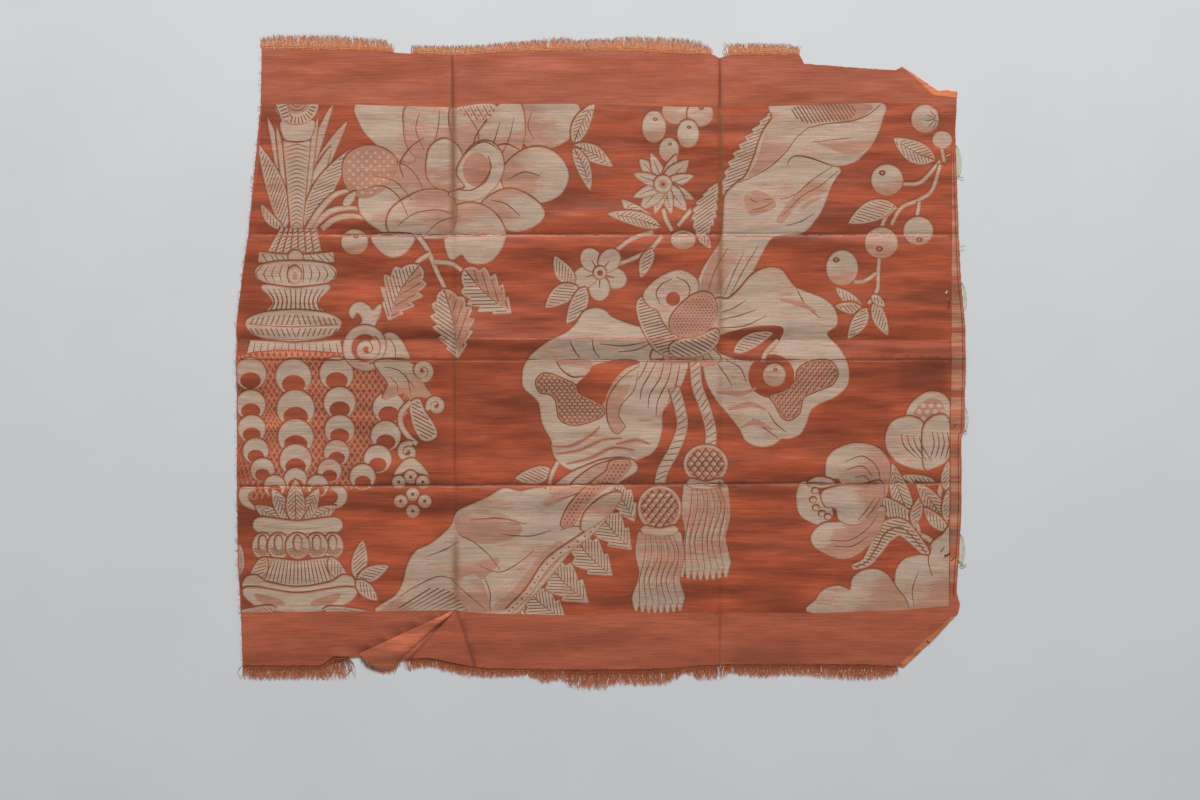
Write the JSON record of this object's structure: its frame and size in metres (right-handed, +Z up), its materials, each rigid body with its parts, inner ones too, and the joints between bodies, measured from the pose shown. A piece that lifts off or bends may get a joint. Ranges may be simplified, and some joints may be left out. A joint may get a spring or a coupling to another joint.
{
  "type": "brocade panel",
  "caption": "Flat figured silk panel with fold creases, a small fan pleat at the hem, a ragged outline and frayed warp fringes along the top and bottom edges.",
  "frame": {"origin": "on the surface it lies on, under the middle of the panel's bounding box", "axes": "+X across the cloth from the cut side to the selvedge, +Y along the warp from the bottom fringe to the top fringe, +Z up out of the pattern side"},
  "size_m": [0.546, 0.494, 0.0044],
  "materials": {
    "figured_silk": "figured silk weave, cream and pink on terracotta, softly lustrous",
    "frayed_warp": "loose silk warp ends, orange to dark brown-red"
  },
  "bodies": {
    "root": {"cloth": "figured_silk", "fringe_top_left": "frayed_warp", "fringe_top_middle": "frayed_warp", "fringe_top_right": "frayed_warp", "fringe_bottom_left": "frayed_warp", "fringe_bottom_flap": "frayed_warp", "fringe_bottom_middle": "frayed_warp", "fringe_bottom_right": "frayed_warp"}
  },
  "joints": []
}
